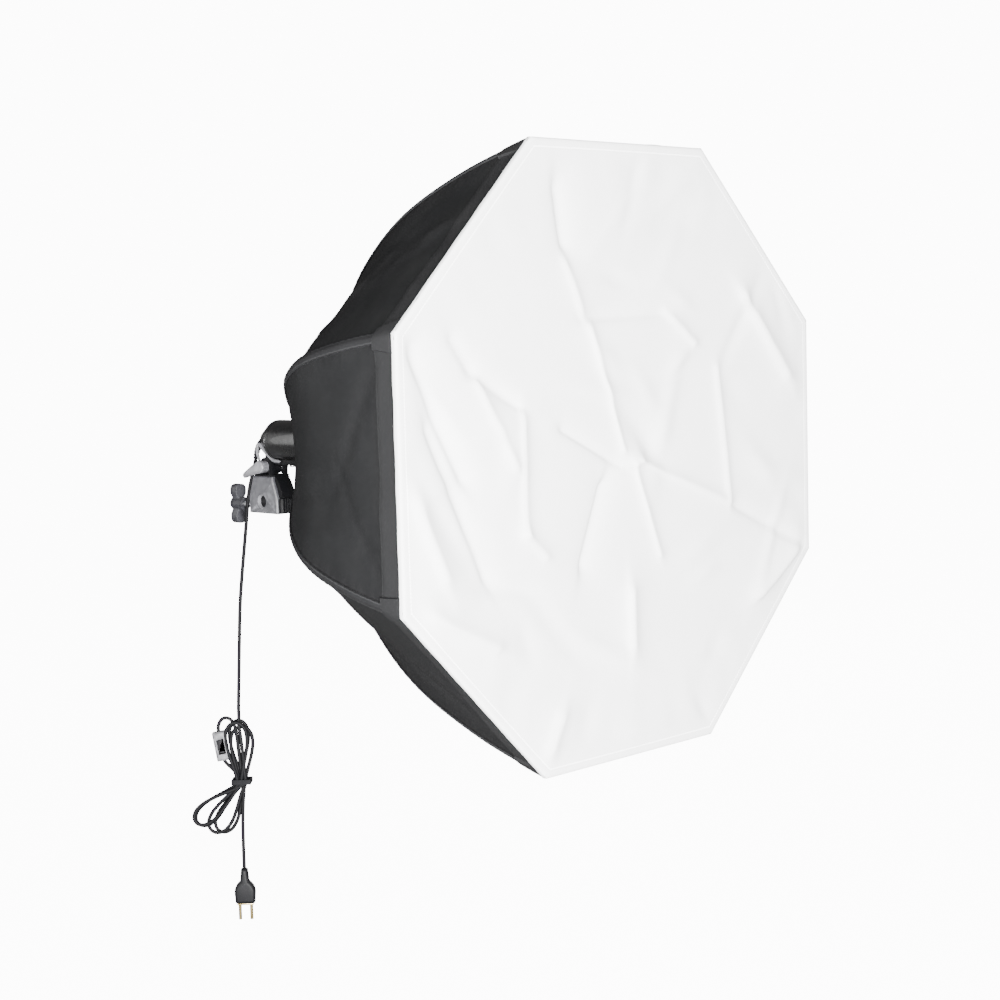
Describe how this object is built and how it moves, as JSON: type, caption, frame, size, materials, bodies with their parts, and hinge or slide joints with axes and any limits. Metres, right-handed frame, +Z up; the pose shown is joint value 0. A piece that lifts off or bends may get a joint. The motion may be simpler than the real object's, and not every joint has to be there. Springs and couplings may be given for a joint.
{
  "type": "studio softbox",
  "caption": "Octagonal softbox with folding ribs and a front diffuser on a tilting lamp holder with a clamp for a light stand and a mains cord.",
  "frame": {"origin": "centre of the mouth of the vertical stand socket, on the block's underside", "axes": "+Z up along the stand socket, -Y towards the front diffuser along the lamp axis, X along the tilt bolt"},
  "size_m": [0.6, 0.6649, 0.8915],
  "materials": {
    "shell_cloth": "matt",
    "diffuser_cloth": "matt",
    "holder_black": "gloss",
    "black_plastic": "satin",
    "grey_casting": "satin",
    "steel": "brushed",
    "rib_rod": "satin",
    "brass": "satin",
    "ceramic": "glazed",
    "bulb_opal": "opal",
    "bulb_base": "satin",
    "cord_pvc": "satin"
  },
  "bodies": {
    "stand_clamp": {"stand_block": "grey_casting", "front_jaw": "black_plastic", "tilt_knuckle": "black_plastic", "tilt_bolt": "steel", "friction_washer_left": "steel", "friction_washer_right": "steel", "cord_drop": "cord_pvc", "cord_hank": "cord_pvc", "cord_tail": "cord_pvc", "hank_tie": "grey_casting", "switch_housing": "grey_casting", "plug_body": "black_plastic", "plug_pins": "brass"},
    "clamp_knob": {"clamp_knob": "grey_casting", "clamp_screw": "steel"},
    "tilt_lever": {"tilt_lever": "grey_casting"},
    "lamp_head": {"head_arm": "grey_casting", "arm_screw": "steel", "holder_shell": "holder_black", "rear_cap": "holder_black", "socket_insulator": "ceramic", "socket_screw_shell": "brass", "centre_contact": "brass", "hub_plate_front": "steel", "hub_plate_rear": "steel", "rib_pivot_ring": "steel", "lock_ring": "black_plastic", "neck_cuff": "shell_cloth", "strain_relief": "cord_pvc"},
    "bulb": {"bulb_cap": "brass", "bulb_housing": "bulb_base", "bulb_globe": "bulb_opal"},
    "diffuser": {"diffuser": "diffuser_cloth"},
    "switch_rocker": {"switch_rocker": "black_plastic"},
    "rib_1": {"rib_1": "rib_rod", "rib_tip_1": "black_plastic", "shell_gore_1": "shell_cloth"},
    "rib_2": {"rib_2": "rib_rod", "rib_tip_2": "black_plastic", "shell_gore_2": "shell_cloth"},
    "rib_3": {"rib_3": "rib_rod", "rib_tip_3": "black_plastic", "shell_gore_3": "shell_cloth"},
    "rib_4": {"rib_4": "rib_rod", "rib_tip_4": "black_plastic", "shell_gore_4": "shell_cloth"},
    "rib_5": {"rib_5": "rib_rod", "rib_tip_5": "black_plastic", "shell_gore_5": "shell_cloth"},
    "rib_6": {"rib_6": "rib_rod", "rib_tip_6": "black_plastic", "shell_gore_6": "shell_cloth"},
    "rib_7": {"rib_7": "rib_rod", "rib_tip_7": "black_plastic", "shell_gore_7": "shell_cloth"},
    "rib_8": {"rib_8": "rib_rod", "rib_tip_8": "black_plastic", "shell_gore_8": "shell_cloth"}
  },
  "joints": [
    {"name": "clamp_knob_turn", "type": "hinge", "parent": "stand_clamp", "child": "clamp_knob", "pos_m": [0, 0.06, 0.008], "axis": [0, 1, 0], "range_deg": [0, 1080]},
    {"name": "tilt_lever_turn", "type": "hinge", "parent": "stand_clamp", "child": "tilt_lever", "pos_m": [-0.02, -0.005, 0.056], "axis": [1, 0, 0], "range_deg": [-80, 0]},
    {"name": "head_tilt", "type": "hinge", "parent": "stand_clamp", "child": "lamp_head", "pos_m": [0, -0.005, 0.056], "axis": [1, 0, 0], "range_deg": [-30, 45], "deforming": ["cord_drop"]},
    {"name": "bulb_unscrew", "type": "hinge", "parent": "lamp_head", "child": "bulb", "pos_m": [0, -0.2, 0.087], "axis": [0, -1, 0], "range_deg": [-1260, 0]},
    {"name": "diffuser_pull_off", "type": "slide", "parent": "lamp_head", "child": "diffuser", "axis": [0, -1, 0], "range_m": [0, 0.1601]},
    {"name": "switch_press", "type": "hinge", "parent": "stand_clamp", "child": "switch_rocker", "pos_m": [-0.0371, 0.07175, -0.287], "axis": [-0.6948, 0.7013, -0.1593], "range_deg": [-6, 6]},
    {"name": "rib_fold_1", "type": "hinge", "parent": "lamp_head", "child": "rib_1", "pos_m": [0.05081, -0.138, 0.10805], "axis": [0.3827, 0, -0.9239], "range_deg": [0, 30], "deforming": ["shell_gore_1"]},
    {"name": "rib_fold_2", "type": "hinge", "parent": "lamp_head", "child": "rib_2", "pos_m": [0.02105, -0.138, 0.13781], "axis": [0.9239, 0, -0.3827], "range_deg": [0, 30.01], "deforming": ["shell_gore_2"]},
    {"name": "rib_fold_3", "type": "hinge", "parent": "lamp_head", "child": "rib_3", "pos_m": [-0.02105, -0.138, 0.13781], "axis": [0.9239, 0, 0.3827], "range_deg": [0, 30.01], "deforming": ["shell_gore_3"]},
    {"name": "rib_fold_4", "type": "hinge", "parent": "lamp_head", "child": "rib_4", "pos_m": [-0.05081, -0.138, 0.10805], "axis": [0.3827, 0, 0.9239], "range_deg": [0, 30.01], "deforming": ["shell_gore_4"]},
    {"name": "rib_fold_5", "type": "hinge", "parent": "lamp_head", "child": "rib_5", "pos_m": [-0.05081, -0.138, 0.06595], "axis": [-0.3827, 0, 0.9239], "range_deg": [0, 30.01], "deforming": ["shell_gore_5"]},
    {"name": "rib_fold_6", "type": "hinge", "parent": "lamp_head", "child": "rib_6", "pos_m": [-0.02105, -0.138, 0.03619], "axis": [-0.9239, 0, 0.3827], "range_deg": [0, 30.01], "deforming": ["shell_gore_6"]},
    {"name": "rib_fold_7", "type": "hinge", "parent": "lamp_head", "child": "rib_7", "pos_m": [0.02105, -0.138, 0.03619], "axis": [-0.9239, 0, -0.3827], "range_deg": [0, 30.01], "deforming": ["shell_gore_7"]},
    {"name": "rib_fold_8", "type": "hinge", "parent": "lamp_head", "child": "rib_8", "pos_m": [0.05081, -0.138, 0.06595], "axis": [-0.3827, 0, -0.9239], "range_deg": [0, 30.01], "deforming": ["shell_gore_8"]}
  ],
  "couplings": [
    {"joint": "diffuser_pull_off", "follows": "rib_fold_1", "m_per_rad": 0.30558},
    {"joint": "rib_fold_2", "follows": "rib_fold_1", "ratio": 1},
    {"joint": "rib_fold_3", "follows": "rib_fold_1", "ratio": 1},
    {"joint": "rib_fold_4", "follows": "rib_fold_1", "ratio": 1},
    {"joint": "rib_fold_5", "follows": "rib_fold_1", "ratio": 1},
    {"joint": "rib_fold_6", "follows": "rib_fold_1", "ratio": 1},
    {"joint": "rib_fold_7", "follows": "rib_fold_1", "ratio": 1},
    {"joint": "rib_fold_8", "follows": "rib_fold_1", "ratio": 1}
  ]
}
